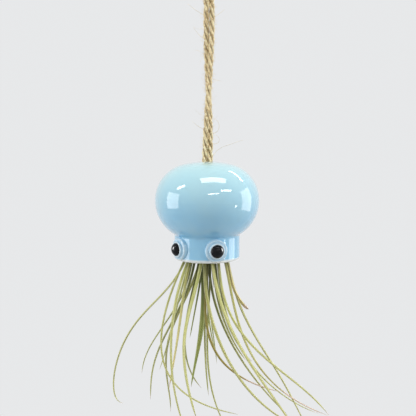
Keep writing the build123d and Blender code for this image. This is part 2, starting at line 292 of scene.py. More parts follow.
# Its ribs: how many, how fast they wind on the way up, and how deep the grooves between them are
HEART_RIBS = 9
RIB_WIND = 180
RIB_DEPTH = 0.12

# Studio: each light's two ends as the camera sees them, right, near and up, its thickness
# and its brightness
LIGHTS = {
    "ceiling_panel": ((-0.21, 0.37, 0.88), (0.53, 0.20, 0.81), 0.30, 5.0),
    "right_window": ((0.935, -0.092, -0.342), (0.903, -0.089, 0.42), 0.54, 2.2),
    "left_window": ((-0.945, 0.174, -0.276), (-0.924, 0.170, 0.342), 0.58, 2.6),
    "back_strip": ((0.379, -0.485, 0.788), (0.765, -0.294, 0.574), 0.06, 12.0),
    "left_panel": ((-0.840, 0.210, 0.500), (-0.652, 0.332, 0.682), 0.11, 10.0),
    "front_strip": ((0.464, 0.700, 0.552), (0.757, 0.430, 0.488), 0.08, 12.0),
    "low_strip": ((0.020, 0.915, 0.400), (0.400, 0.800, 0.445), 0.045, 12.0),
    "small_lamp": ((0.867, 0.462, -0.175), (0.895, 0.400, -0.165), 0.05, 12.0),
    "right_glint": ((0.950, -0.237, -0.09), (0.875, -0.219, 0.42), 0.22, 50.0),
    "left_glint": ((-0.993, -0.070, -0.09), (-0.900, -0.063, 0.42), 0.22, 50.0),
}
BEAD_LIGHTS = ("right_glint", "left_glint")
LIGHT_DISTANCE = 1.1


def colour(name, about, value):
    """A colour that a user may change."""
    return bpy.props.FloatVectorProperty(
        name=name, description=about, subtype="COLOR", size=3, min=0, max=1, default=value
    )


def length(name, about, value):
    """A length in metres that a user may change."""
    return bpy.props.FloatProperty(
        name=name, description=about, unit="LENGTH", precision=5, min=0, default=value
    )


def share(name, about, value, top=1.0):
    """A plain number that a user may change."""
    return bpy.props.FloatProperty(name=name, description=about, min=0, max=top, default=value)


class HolderTwine(bpy.types.PropertyGroup):
    """Sizes and colours of the doubled twine."""

    strand: length("Strand diameter", "Thickness of one strand", 0.0038)
    spread: length("Strand spread", "Half of the way between the two strands", 0.0019)
    hook: length("Hook radius", "Radius of the hook that the loop goes over", 0.004)
    ply_turn: length("Ply turn", "Length of one turn of the plies", 0.021)
    hairs: bpy.props.IntProperty(name="Short hairs", description="Fibres that stand off", default=2200)
    long_hairs: bpy.props.IntProperty(name="Long hairs", description="Loose fibres", default=80)
    pale: colour("Pale fibre", "Fibres that catch the light", (0.98, 0.86, 0.54))
    middle: colour("Fibre", "Most of the jute", (0.76, 0.56, 0.28))
    # Dark fibres, and the painted shade down between the plies
    dark_fibre_and_shade: colour("Deep fibre", "Fibres down between the plies", (0.22, 0.14, 0.06))
    loose: colour("Loose fibre", "Fibres that stand off", (0.66, 0.50, 0.28))


class HolderBell(bpy.types.PropertyGroup):
    """Colours of the glaze and the beads."""

    upper: colour("Upper glaze", "Glaze near the crown", (0.45, 0.705, 0.75))
    lower: colour("Lower glaze", "Glaze near the rim", (0.29, 0.62, 0.86))
    # The thin glaze's colour is also the painted highlight on the eyes' steps
    thin: colour("Thin glaze", "Where the glaze runs thin over an edge", (0.93, 0.95, 0.93))
    gloss: share("Glaze roughness", "How blurred reflections in the glaze are", 0.045)
    bead: colour("Bead", "The eye beads", (0.003, 0.003, 0.004))


class HolderPlant(bpy.types.PropertyGroup):
    """Sizes and colours of the air plant."""

    mouth: length("Mouth radius", "Inside radius of the bell's neck", 0.0175)
    span: length("Leaf span", "Length that the leaves' places are shares of", 0.1)
    spread: share("Leaf spread", "Leaf spread in mouth radii", 5.714, 10)
    width: share("Leaf width", "Leaf width in mouth radii", 0.129)
    tip: share("Tip width", "Width near the tip as a share of the root's", 0.40)
    green: colour("Green", "Young leaves", (0.27, 0.33, 0.07))
    # Deep green is the painted shade in the channels, between the roots and inside the mouth
    deep: colour("Deep green", "The leaves' channels, and their shaded roots", (0.05, 0.068, 0.02))
    # Pale scales, and also the painted highlight along the leaves' margins
    pale: colour("Pale scales", "The leaves' pale margins and scales", (0.86, 0.84, 0.50))
    yellow: colour("Yellow green", "Older leaves", (0.50, 0.49, 0.155))
    gold: colour("Gold", "The oldest leaves", (0.80, 0.65, 0.26))
    brown: colour("Brown", "Where a leaf dries out", (0.34, 0.26, 0.055))
    bleached: colour("Bleached", "Ends that dried long ago", (0.70, 0.53, 0.38))


class HolderStage(bpy.types.PropertyGroup):
    """The camera, and the floor and background."""

    distance: length("Camera distance", "Level distance from the twine to the camera", 0.428)
    height: length("Camera height", "Camera above the bell's widest level", 0.030)
    tilt: bpy.props.FloatProperty(
        name="Camera tilt", description="How far it looks down", subtype="ANGLE", default=math.radians(4.7)
    )
    lens: bpy.props.FloatProperty(
        name="Lens", description="Focal length on a 36 mm sensor, in mm", default=55.38
    )
    floor_drop: length("Floor", "Floor below the hook", 1.0)
    background: colour("Background", "Pale background", (0.80, 0.81, 0.82))


# Shader nodes


class Shade:
    """A material, or a node group, under construction."""

    def __init__(self, tree):
        self.tree = tree

    def add(self, kind, inputs=None, **settings):
        """Add a node, set it, and set or link its inputs by name or number."""
        node = self.tree.nodes.new("ShaderNode" + kind)
        for name, value in settings.items():
            setattr(node, name, value)
        for name, value in (inputs or {}).items():
            socket = node.inputs[name]
            if isinstance(value, bpy.types.NodeSocket):
                self.tree.links.new(value, socket)
            elif hasattr(value, "__len__") and socket.type == "RGBA" and len(value) == 3:
                socket.default_value = (*value, 1)
            else:
                socket.default_value = value
        return node

    def math(self, operation, a, b=0.0, clamp=False):
        """One number from one or two."""
        return self.add("Math", {0: a, 1: b}, operation=operation, use_clamp=clamp).outputs[0]

    def plus(self, a, b, clamp=False):
        """The sum of two."""
        return self.math("ADD", a, b, clamp)

    def minus(self, a, b):
        """The first less the second."""
        return self.math("SUBTRACT", a, b)

    def times(self, a, b, clamp=False):
        """The product of two."""
        return self.math("MULTIPLY", a, b, clamp)

    def most(self, a, b, clamp=False):
        """The larger of two."""
        return self.math("MAXIMUM", a, b, clamp)

    def sway(self, value, amount):
        """A value from 0 to 1, made to go up and down around 0."""
        return self.times(self.minus(value, 0.5), amount)

    def rise(self, value, low, high):
        """0 below low, 1 above high, and smooth between them; falls where low is above high."""
        inputs = {"Value": value, "From Min": low, "From Max": high}
        return self.add("MapRange", inputs, interpolation_type="SMOOTHSTEP").outputs[0]

    def mix(self, factor, a, b):
        """One colour from two."""
        return self.add("Mix", {0: factor, 6: a, 7: b}, data_type="RGBA").outputs[2]

    def place(self):
        """The place in the part's own frame."""
        return self.add("TexCoord").outputs["Object"]

    def skin(self):
        """The place on a strand's or leaf's own map: once round, and millimetres along."""
        return self.split(self.add("UVMap", uv_map="UVMap").outputs[0])

    def carried(self, name):
        """What each point of a piece carries under a name."""
        return self.add("Attribute", attribute_name=name).outputs["Fac"]

    def split(self, vector):
        """A vector's parts, X, Y and Z."""
        return self.add("SeparateXYZ", {0: vector}).outputs

    def flat(self, across, along):
        """A flat vector from two numbers."""
        return self.add("CombineXYZ", {0: across, 1: along}).outputs[0]

    def vector(self, operation, a, b=(0.0, 0.0, 0.0)):
        """One number from one or two vectors."""
        return self.add("VectorMath", {0: a, 1: b}, operation=operation).outputs["Value"]

    def axis_distance(self, axes):
        """How far a place is from the part's upright axis."""
        return self.vector("LENGTH", self.flat(axes["X"], axes["Y"]))

    def seen(self):
        """1 for rays from the camera and from shiny or clear surfaces, and 0 for the others."""
        rays = self.add("LightPath").outputs
        shiny = self.most(rays["Is Glossy Ray"], rays["Is Transmission Ray"])
        return self.most(rays["Is Camera Ray"], shiny)

    def noise(self, vector, scale, detail, roughness=0.5):
        """Smooth noise from 0 to 1."""
        inputs = {"Vector": vector, "Scale": scale, "Detail": detail, "Roughness": roughness}
        return self.add("TexNoise", inputs).outputs[0]

    def bump(self, height, distance, strength):
        """A normal from a height."""
        inputs = {"Height": height, "Distance": distance, "Strength": strength}
        return self.add("Bump", inputs).outputs[0]


def new_material(name):
    """A material with a Principled shader, and its Shade."""
    material = bpy.data.materials.new(name)
    material.use_nodes = True
    return material, Shade(material.node_tree), material.node_tree.nodes["Principled BSDF"]


def set_shader(shade, shader, **inputs):
    """Set or link a shader's inputs, with _ for each space in a name."""
    for name, value in inputs.items():
        socket = shader.inputs[name.replace("_", " ")]
        if isinstance(value, bpy.types.NodeSocket):
            shade.tree.links.new(value, socket)
        else:
            socket.default_value = (*value, 1) if hasattr(value, "__len__") and len(value) == 3 else value


def eye_ring_group():
    """A mask that is 1 in a ring around an eye's axis, on the outside of the bell."""
    group = bpy.data.node_groups.new("Eye ring mask", "ShaderNodeTree")
    for name, kind in (
        ("Place", "NodeSocketVector"),
        ("Eye", "NodeSocketVector"),
        ("Outwards", "NodeSocketVector"),
        ("Inner", "NodeSocketFloat"),
        ("Outer", "NodeSocketFloat"),
        ("Softness", "NodeSocketFloat"),
    ):
        group.interface.new_socket(name, in_out="INPUT", socket_type=kind)
    group.interface.new_socket("Mask", in_out="OUTPUT", socket_type="NodeSocketFloat")
    shade = Shade(group)
    given = group.nodes.new("NodeGroupInput").outputs
    result = group.nodes.new("NodeGroupOutput")
    away = shade.add("VectorMath", {0: given["Place"], 1: given["Eye"]}, operation="SUBTRACT").outputs[0]
    ahead = shade.vector("DOT_PRODUCT", away, given["Outwards"])
    span = shade.vector("LENGTH", away)
    squares = shade.minus(shade.times(span, span), shade.times(ahead, ahead))
    radius = shade.math("SQRT", shade.most(squares, 0.0))
    inner = shade.minus(given["Inner"], given["Softness"])
    outer = shade.plus(given["Outer"], given["Softness"])
    inside = shade.rise(radius, inner, given["Inner"])
    outside = shade.rise(radius, outer, given["Outer"])
    ring = shade.times(inside, outside)
    mask = shade.times(ring, shade.rise(ahead, -0.004, -0.003))
    group.links.new(mask, result.inputs["Mask"])
    return group


def glaze_material(bell):
    """Sky blue glaze, paler at the crown, off-white where it runs thin, and whiter on the eyes' steps as a
    painted highlight.
    """
    material, shade, shader = new_material("sky blue glaze")
    place = shade.place()
    axes = shade.split(place)
    level = shade.plus(axes["Z"], shade.sway(shade.noise(place, 32.0, 2.0), 0.022))
    height = shade.rise(level, RIM_Z + 0.022, CROWN_Z - 0.001)
    body = shade.mix(height, tuple(bell.lower), tuple(bell.upper))
    cloud = shade.rise(shade.noise(place, 150.0, 1.0), 0.35, 0.75)
    body = shade.mix(shade.times(cloud, 0.10), body, tuple(bell.upper))

    # Thin glaze over the rim, the cord hole's edge and the steps of the eyes; on the eyes' steps the white
    # is also a painted highlight
    waver = shade.times(shade.noise(place, 420.0, 2.0), 0.0007)
    thin = shade.rise(shade.minus(axes["Z"], waver), RIM_Z + 0.0024, RIM_Z + 0.0009)
    top = shade.rise(axes["Z"], CROWN_Z - 0.004, CROWN_Z - 0.002)
    hole = shade.times(shade.rise(shade.axis_distance(axes), 0.0062, 0.0050), top)
    thin = shade.most(thin, shade.times(hole, 0.55))
    ring = eye_ring_group()
    for side in (-1, 1):
        out = Vector((math.sin(EYE_TURN) * side, -math.cos(EYE_TURN), 0))
        eye = out * EYE_REACH + Vector((0, 0, RIM_Z + EYE_HEIGHT))
        for inner, outer, weight in EYE_THIN_AND_HIGHLIGHT_RINGS:
            values = {
                "Place": place,
                "Eye": eye,
                "Outwards": out,
                "Inner": inner,
                "Outer": outer,
                "Softness": EYE_RING_SOFTNESS,
            }
            mask = shade.add("Group", values, node_tree=ring).outputs["Mask"]
            thin = shade.most(thin, shade.times(mask, weight))
    swell = shade.noise(place, 45.0, 0.0)
    set_shader(
        shade,
        shader,
        Base_Color=shade.mix(thin, body, tuple(bell.thin)),
        Roughness=bell.gloss,
        IOR=1.52,
        Normal=shade.bump(swell, 0.0005, 0.4),
        Coat_Weight=0.9,
        Coat_Roughness=0.02,
    )
    return material


def bead_material(bell):
    """Glossy black."""
    material, shade, shader = new_material("black bead")
    dust = shade.rise(shade.noise(shade.place(), 1600.0, 4.0, 0.6), 0.55, 0.8)
    set_shader(
        shade,
        shader,
        Base_Color=shade.mix(shade.times(dust, 0.006), tuple(bell.bead), (0.3, 0.3, 0.3)),
        Roughness=shade.plus(shade.times(dust, 0.06), 0.04),
        IOR=1.45,
        Specular_IOR_Level=0.2,
    )
    return material


def jute_material(twine):
    """Coarse jute: fibres along the plies, with painted shade down between them."""
    material, shade, shader = new_material("jute strand")
    skin = shade.skin()
    slant = shade.plus(shade.times(skin["X"], 12.0), shade.times(skin["Y"], 0.42))
    fibre_place = shade.flat(shade.times(slant, 1.15), shade.times(skin["Y"], 0.30))
    fibre = shade.noise(fibre_place, 1.0, 4.0, 0.65)
    patch = shade.noise(shade.place(), 640.0, 2.0)
    deep = shade.carried("groove")
    tone = shade.plus(fibre, shade.sway(patch, 0.9))
    body = shade.mix(shade.rise(tone, 0.39, 0.57), tuple(twine.middle), tuple(twine.pale))
    cracks = shade.times(shade.rise(tone, 0.40, 0.30), 0.62)
    # Darker where the fibres' tone is low, and painted shade down in the grooves between the plies
    grooves = shade.times(shade.rise(deep, 0.45, 1.0), 0.75)
    body = shade.mix(shade.most(cracks, grooves, True), body, tuple(twine.dark_fibre_and_shade))
    height = shade.plus(fibre, shade.times(patch, 0.3))
    set_shader(
        shade,
        shader,
        Base_Color=body,
        Roughness=0.9,
        Normal=shade.bump(height, 0.0007, 0.9),
        Sheen_Weight=0.25,
        Sheen_Roughness=0.6,
    )
    return material


def hair_material(twine):
    """Loose jute fibres."""
    material, shade, shader = new_material("jute fibre")
    tone = shade.noise(shade.place(), 700.0, 2.0)
    body = shade.mix(tone, tuple(twine.loose), tuple(twine.pale))
    set_shader(shade, shader, Base_Color=body, Roughness=0.7)
    return material


def leaf_material(plant):
    """Thin channelled leaf: green with pale scales, golden with age, dry at its tip, with painted shade and
    painted highlights.
    """
    material, shade, shader = new_material("air plant leaf")
    place = shade.place()
    axes = shade.split(place)
    skin = shade.skin()
    along, age, worn, dry = (shade.carried(name) for name in ("along", "age", "worn", "dry"))
    streak = shade.noise(shade.flat(shade.times(skin["X"], 7.0), shade.times(skin["Y"], 0.05)), 1.0, 2.0)
    scales = shade.noise(place, 900.0, 2.0, 0.6)
    patch = shade.noise(place, 120.0, 2.0)
    side = shade.math("SINE", shade.times(skin["X"], math.tau))

    # Green, then yellow with age, and golden where it is oldest
    aging = shade.times(shade.minus(along, 0.45), shade.times(age, 0.55))
    ripe = shade.plus(shade.plus(age, shade.sway(patch, 0.3)), aging, True)
    body = shade.mix(shade.rise(ripe, 0.0, 0.55), tuple(plant.green), tuple(plant.yellow))
    body = shade.mix(shade.rise(ripe, 0.72, 1.0), body, tuple(plant.gold))

    # Pale scales in streaks and along both margins, where the paleness is also a painted highlight
    streaked = shade.times(shade.rise(streak, 0.42, 0.70), shade.rise(along, 1.0, 0.3))
    frost_and_highlight = shade.plus(shade.times(streaked, 0.5), shade.sway(scales, 0.12), True)
    margin_scales_and_highlight = shade.rise(shade.math("ABSOLUTE", side), 0.60, 0.10)
    frost_and_highlight = shade.most(frost_and_highlight, shade.times(margin_scales_and_highlight, shade.rise(along, 0.85, 0.20)))
    frost_and_highlight = shade.plus(frost_and_highlight, shade.times(shade.rise(along, 0.3, 0.8), 0.2), True)
    frost_and_highlight = shade.times(frost_and_highlight, shade.rise(age, -0.05, 0.35))
    frost_and_highlight = shade.times(frost_and_highlight, shade.minus(1.0, worn))
    body = shade.mix(frost_and_highlight, body, tuple(plant.pale))
    body = shade.mix(worn, body, tuple(plant.brown))

    # Painted shade in deep green: in the channel, between the roots and up inside the mouth
    channel_shade = shade.rise(side, -0.15, -0.75)
    faded = shade.times(shade.rise(along, 0.85, 0.35), shade.rise(age, 0.75, 0.25))
    shaded = shade.times(channel_shade, shade.plus(shade.times(faded, 0.62), 0.06))
    middle = shade.rise(shade.axis_distance(axes), 0.016, 0.006)
    between = shade.times(shade.rise(axes["Z"], RIM_Z - 0.050, RIM_Z - 0.004), middle)
    shaded = shade.most(shaded, shade.times(between, 0.75))
    inside = shade.rise(axes["Z"], RIM_Z - 0.008, RIM_Z + 0.004)
    shaded = shade.most(shaded, shade.times(inside, 0.45))
    body = shade.mix(shaded, body, tuple(plant.deep))

    # Brown, then bleached, towards a tip that has dried
    ragged = shade.plus(along, shade.sway(streak, 0.06))
    alive = shade.minus(1.0, dry)
    browned = shade.rise(ragged, shade.minus(alive, 0.03), shade.plus(alive, 0.04))
    browned = shade.times(browned, shade.plus(worn, 0.3), True)
    body = shade.mix(browned, body, tuple(plant.brown))
    bleached_from = shade.minus(1.0, shade.times(dry, 0.62))
    bleached_to = shade.minus(1.0, shade.times(dry, 0.50))
    body = shade.mix(shade.rise(ragged, bleached_from, bleached_to), body, tuple(plant.bleached))
    set_shader(
        shade,
        shader,
        Base_Color=body,
        Roughness=0.55,
        Specular_IOR_Level=0.35,
        Normal=shade.bump(streak, 0.0002, 0.4),
        Sheen_Weight=0.12,
        Sheen_Roughness=0.4,
    )
    return material


# Shapes


def new_piece(name, bm, material, body=None, replaces=()):
    """Make a bmesh into a smooth piece of the object."""
    mesh = bpy.data.meshes.new(name)
    bm.to_mesh(mesh)
    bm.free()
    mesh.shade_smooth()
    mesh.materials.append(material)
    piece = bpy.data.objects.new(name, mesh)
    bpy.context.scene.collection.objects.link(piece)
    if body:
        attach(piece, body)
    if replaces:
        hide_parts(*replaces)
    return piece


def new_curve(name, steps):
    """An empty curve with so many steps from point to point."""
    curve = bpy.data.curves.new(name, "CURVE")
    curve.dimensions = "3D"
    curve.resolution_u = steps
    return curve


def add_line(curve, turns):
    """Add the smooth line that some points draw, and give its points."""
    spline = curve.splines.new("NURBS")
    spline.points.add(len(turns) - 1)
    for point, place in zip(spline.points, turns):
        point.co = (*place, 1)
    spline.order_u = 3
    spline.use_endpoint_u = True
    return spline.points


def curve_mesh(curve):
    """Turn a curve into a mesh."""
    holder = bpy.data.objects.new(curve.name, curve)
    mesh = bpy.data.meshes.new_from_object(holder)
    bpy.data.objects.remove(holder)
    bpy.data.curves.remove(curve)
    return mesh


def smooth_line(turns, steps):
    """Places along the smooth line that some points draw."""
    curve = new_curve("route", steps)
    add_line(curve, turns)
    mesh = curve_mesh(curve)
    places = [vertex.co.copy() for vertex in mesh.vertices]
    bpy.data.meshes.remove(mesh)
    return places


def frames_along(places, side):
    """A matrix at each place: Z along the line, and X carried on without turning."""
    frames = []
    for before, here, after in zip([places[0], *places], places, [*places[1:], places[-1]]):
        along = (after - before).normalized()
        side = (side - along * side.dot(along)).normalized()
        turn = Matrix((side, along.cross(side), along)).transposed().to_4x4()
        frames.append(Matrix.Translation(here) @ turn)
    return frames


def lengths_along(places):
    """The way from the first place to each place."""
    ways = [0.0]
    for before, here in zip(places, places[1:]):
        ways.append(ways[-1] + (here - before).length)
    return ways


def ring_edges(verts):
    """The edges between a ring's points, in order."""
    return list(dict.fromkeys(edge for vert in verts for edge in vert.link_edges))


def sweep(bm, verts, placements, mark):
    """Extrude a ring of points from placement to placement, close both ends, and mark each ring."""
    edges = ring_edges(verts)
    bmesh.ops.transform(bm, matrix=placements[0], verts=verts)
    mark(0, verts)
    bmesh.ops.contextual_create(bm, geom=edges)
    for index, (before, here) in enumerate(zip(placements, placements[1:]), 1):
        made = bmesh.ops.extrude_edge_only(bm, edges=edges)["geom"]
        verts = [item for item in made if isinstance(item, bmesh.types.BMVert)]
        edges = [item for item in made if isinstance(item, bmesh.types.BMEdge) and item.is_boundary]
        bmesh.ops.transform(bm, matrix=here @ before.inverted(), verts=verts)
        mark(index, verts)
    bmesh.ops.contextual_create(bm, geom=edges)


def map_rings(bm, around, along):
    """Give each face corner a place in the UV map: once round, and millimetres along."""
    uv = bm.loops.layers.uv.new("UVMap")
    for face in bm.faces:
        turns = [loop.vert[around] for loop in face.loops]
        wraps = max(turns) - min(turns) > 0.5
        for loop, turn in zip(face.loops, turns):
            loop[uv].uv = (turn + (1 if wraps and turn < 0.5 else 0), loop.vert[along] * 1000)


def lay_strand(bm, places, radius, ply_turn):
    """Three plies laid together along a line, as one ribbed strand."""
    layers = bm.verts.layers.float
    around, along, groove = (layers.get(name) or layers.new(name) for name in STRAND_LAYERS)
    steps = PLY_COUNT * PLY_STEPS
    ring = bmesh.ops.create_circle(bm, cap_ends=False, segments=steps, radius=radius)["verts"]
    ply_radius = radius / (1 + 1 / math.sin(math.pi / PLY_COUNT))
    ply_offset = radius - ply_radius
    for vert in ring:
        turn = math.atan2(vert.co.y, vert.co.x) % math.tau
        lobe = (turn * PLY_COUNT / math.tau) % 1 - 0.5
        angle = lobe * math.tau / PLY_COUNT
        past = max(ply_radius**2 - (ply_offset * math.sin(angle)) ** 2, 0)
        reach = max(ply_offset * math.cos(angle) + math.sqrt(past), GROOVE_SHARE * radius)
        vert.co *= reach / vert.co.length
        vert[around] = turn / math.tau
        vert[groove] = min(1.0, max(0.0, (1 - reach / radius) / (1 - GROOVE_SHARE)))
    ways = lengths_along(places)
    placements = [
        place @ Matrix.Rotation(-math.tau * way / ply_turn, 4, "Z")
        for place, way in zip(frames_along(places, Vector((1, 0, 0))), ways)
    ]

    def mark(index, verts):
        for vert in verts:
            vert[along] = ways[index]

    sweep(bm, ring, placements, mark)
    return around, along


def roughen(bm, amount):
    """Push a strand's surface in and out a little, as coarse fibres do."""
    bm.normal_update()
    for vert in bm.verts:
        rough = sum(noise.noise(vert.co * scale) * part for scale, part in FIBRE_NOISES)
        vert.co += vert.normal * rough * amount


def twine_places(twine):
    """The twine's line: up one leg, over the hook and down the other."""
    half = twine.strand / 2
    arch = twine.hook + half
    exit_place = Vector((twine.spread, 0, KNOT_TOP_Z - half))
    exit_place.rotate(Matrix.Rotation(KNOT_EXIT_TURN, 3, "Z"))
    loop = [
        Vector((0, -twine.spread, LOOP_FOOT_Z + half)),
        Vector((0, -arch, -twine.hook - 0.0016)),
        Vector((0, -arch + 0.0001, -0.0006)),
        Vector((0, -arch * 0.6, half)),
    ]
    leg = [exit_place, *(Vector((x, y, CROWN_Z + z)) for x, y, z in LEG_TURNS), *loop]
    leans = [0.0, *LEG_LEANS, *(0.0 for _ in loop)]
    first = [place + VIEW_RIGHT * lean for place, lean in zip(leg, leans)]
    turned = [Vector((-place.x, -place.y, place.z)) for place in leg]
    other = [place + VIEW_RIGHT * lean for place, lean in zip(turned, leans)]
    return smooth_line(first + other[::-1], LINE_STEPS)


class TieKnot(bpy.types.Operator):
    """Tie the stopper knot under the crown, with its two frayed tails"""

    bl_idname = "plant_holder.tie_knot"
    bl_label = "Tie knot"

    def execute(self, context):
        twine = context.scene.holder_twine
        half = twine.strand / 2
        reach = knot_high.y - half
        end = reach * WRAP_END_SHARE
        top = KNOT_TOP_Z - half - WRAP_ROOM
        drop = KNOT_FOOT_Z + half - top
        wraps = [Vector((end, -end, top))]
        for step in range(WRAP_POINTS):
            along = step / (WRAP_POINTS - 1)
            turn = along * WRAP_TURNS * math.tau
            wraps.append(Vector((reach * math.cos(turn), reach * math.sin(turn), top + drop * along)))
        wraps.append(Vector((end * math.cos(turn + 1), end * math.sin(turn + 1), top + drop)))
        lines = [smooth_line(wraps, 6)]
        for way in (1, -1):
            tail = [Vector((way * x, way * y, KNOT_FOOT_Z + z)) for x, y, z in TAIL_PLACES]
            lines.append(smooth_line([Vector((way * TAIL_START, 0, top)), *tail], 8))
        bm = bmesh.new()
        for line in lines:
            around, along = lay_strand(bm, line, half, twine.ply_turn)
        map_rings(bm, around, along)
        roughen(bm, KNOT_ROUGHNESS)
        new_piece("tied_knot", bm, jute_material(twine), "knot", ("stopper_knot",))
        fuzz = grow_hairs(twine, "knot_fibres", [place for line in lines for place in line], *KNOT_HAIRS)
        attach(fuzz, "knot")
        return {"FINISHED"}


class HangTwine(bpy.types.Operator):
    """Lay the doubled twine from the bell over its hook and back, with its loose fibres"""

    bl_idname = "plant_holder.hang_twine"
    bl_label = "Hang twine"

    def execute(self, context):
        twine = context.scene.holder_twine
        places = twine_places(twine)
        bm = bmesh.new()
        around, along = lay_strand(bm, places, twine.strand / 2, twine.ply_turn)
        map_rings(bm, around, along)
        roughen(bm, STRAND_ROUGHNESS)
        jute = bpy.data.materials["jute strand"]
        strand = new_piece("twine", bm, jute, replaces=("twine_loop", "twine_legs"))
        bend = [Vector((0, 0, LOOP_FOOT_Z + reach)) for reach in (BEND_REACH, -BEND_REACH)]
        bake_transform(strand, "hook_loop", "cord", start=bend[0], end=bend[1])
        hairs = grow_hairs(twine, "twine_fibres", places, twine.hairs, twine.long_hairs, SHOWN_HAIRS)
        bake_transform(hairs, "hook_loop", "cord", start=bend[0], end=bend[1])
        return {"FINISHED"}


def grow_hairs(twine, name, places, short, long, shown=()):
    """Fibres that stand off a strand, short and long, as one mesh."""
    draw = random.Random(name)
    frames = frames_along(places, Vector((1, 0, 0)))
    curve = new_curve(name, 2)
    curve.bevel_depth = HAIR_RADIUS
    curve.bevel_resolution = 0
    curve.use_fill_caps = True

    def add_hair(points, thickness):
        for index, point in enumerate(add_line(curve, points)):
            point.radius = thickness * (1 - 0.6 * index / (len(points) - 1))

    def loose_hair(lengths, steps, curl, thicknesses):
        reach = draw.uniform(*lengths)
        thickness = draw.uniform(*thicknesses)
        place = frames[draw.randrange(4, len(frames) - 4)]
        turn = Matrix.Rotation(draw.uniform(0, math.tau), 4, "Z")
        lean = Matrix.Rotation(draw.choice((-1, 1)) * draw.uniform(0.1, 1.15), 4, "Y")
        here = place @ turn @ Vector((twine.strand / 2 * HAIR_START, 0, 0))
        way = (place @ turn @ lean).to_3x3() @ Vector((1, 0, 0))
        bend = Vector((draw.uniform(-1, 1), draw.uniform(-1, 1), draw.uniform(-1, 1))) * curl
        points = [here]
        for _ in range(steps):
            way = (way + bend / steps).normalized()
            here = here + way * reach / steps
            points.append(here)
        add_hair(points, thickness)

    for count, kind in ((short, SHORT_HAIR), (long, LONG_HAIR)):
        for _ in range(count):
            loose_hair(*kind)
    for hair in shown:
        points = [VIEW_RIGHT * x + VIEW_NEAR * y + Vector((0, 0, CROWN_Z + z)) for x, y, z in hair]
        add_hair(points, SHOWN_THICKNESS)
    mesh = curve_mesh(curve)
    mesh.name = name
    mesh.materials.clear()
    mesh.materials.append(bpy.data.materials.get("jute fibre") or hair_material(twine))
    hairs = bpy.data.objects.new(name, mesh)
    bpy.context.scene.collection.objects.link(hairs)
    return hairs


class DressBell(bpy.types.Operator):
    """Glaze the bell and polish its two beads"""

    bl_idname = "plant_holder.dress_bell"
    bl_label = "Dress bell"

    def execute(self, context):
        bell = context.scene.holder_bell
        glaze = glaze_material(bell)
        bead = bead_material(bell)
        for name, material in (("glazed_bell", glaze), ("left_eye_bead", bead), ("right_eye_bead", bead)):
            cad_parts[name].material_slots[0].material = material
        return {"FINISHED"}


def bezier_places(points, steps):
    """Places along the smooth curve that any number of points draws."""
    places = []
    for step in range(steps):
        rest = list(points)
        while len(rest) > 1:
            rest = [before.lerp(after, step / (steps - 1)) for before, after in zip(rest, rest[1:])]
        places.append(rest[0])
    return places


def leaf_places(plant, whorl, angle, turns, steps):
    """The middle line of one leaf: its sheath on the plant's heart, then its blade to the tip."""
    turn = math.radians(angle)
    ring = plant.mouth * WHORL_SHARES[whorl]
    spread = plant.mouth * plant.spread
    out = Vector((math.cos(turn), math.sin(turn), 0))
    root = out * ring + Vector((0, 0, DISC_Z))
    blade = [root, *(Vector((x * spread, y * spread, RIM_Z + z * plant.span)) for x, y, z in turns)]
    sheath = []
    for step in range(SHEATH_STEPS):
        up = 1 - step / SHEATH_STEPS
        level = Vector((0, 0, DISC_Z + WHORL_SHEATHS[whorl] * up))
        sheath.append(out * ring * (1 - SHEATH_LEAN * up**2) + level)
    places = sheath + bezier_places(blade, steps)
    round_to_view = Matrix.Rotation(VIEW_TURN, 3, "Z")
    for place in places:
        place.rotate(round_to_view)
    out.rotate(round_to_view)
    return places, Vector((0, 0, 1)).cross(out)


def blade_share(name, tip, dry, share_along):
    """How wide a blade is at a share of its length, as a share of its full width."""
    broken = name in BROKEN_LEAVES
    taper = 1 - (1 - (BROKEN_TIP if broken else tip)) * share_along**TAPER_POWER
    from_swell = (share_along - SWELL_PLACE) / SWELL_REACH
    taper *= 1 + LEAF_SWELLS.get(name, 0.0) * math.exp(-(from_swell**2))
    if not broken:
        taper *= 1 - DRY_SHRINK * min(1.0, max(0.0, (share_along - 1 + dry) / DRY_RUN))
    point_run = BROKEN_POINT_RUN if broken else POINT_RUN
    return taper * min(1.0, max(POINT_END, (1 - share_along) / point_run)) ** 0.8


def grow_blade(bm, plant, whorl, row, layers, steps=BLADE_STEPS):
    """One channelled blade, wide at its sheath and tapering to a point."""
    name, width_share, angle, *turns, age, worn, dry = row
    places, side = leaf_places(plant, whorl, angle, turns, steps)
    width = plant.mouth * plant.width * width_share
    ring = bmesh.ops.create_circle(bm, cap_ends=False, segments=BLADE_SIDES, radius=0.5)["verts"]
    for vert in ring:
        vert[layers["around"]] = (math.atan2(vert.co.y, vert.co.x) / math.tau) % 1
        vert.co.y = vert.co.y * (BACK_BULGE if vert.co.y > 0 else FRONT_FOLD) - SECTION_DROP
        vert[layers["age"]] = age
        vert[layers["worn"]] = worn
        vert[layers["dry"]] = dry
    ways = lengths_along(places)
    root_way = ways[SHEATH_STEPS]
    total = ways[-1] - root_way
    twist = random.Random(name).uniform(-BLADE_TWIST, BLADE_TWIST)
    shares = [max(0.0, (way - root_way) / total) for way in ways]
    placements = []
    for place, way, share_along in zip(frames_along(places, side), ways, shares):
        flare = max(0.0, 1 - ((way - root_way) / FLARE_RUN) ** 2)
        end = min(1.0, SHEATH_TOP + way / SHEATH_RUN)
        size = width * blade_share(name, plant.tip, dry, share_along) * end
        turn = Matrix.Rotation(twist * share_along, 4, "Z")
        across = size * (1 + FLARE_WIDTH * flare)
        deep = size * (1 + FLARE_DEPTH * flare)
        placements.append(place @ turn @ Matrix.Diagonal((across, deep, 1, 1)))

    def mark(index, verts):
        for vert in verts:
            vert[layers["way"]] = ways[index]
            vert[layers["along"]] = shares[index]

    sweep(bm, ring, placements, mark)


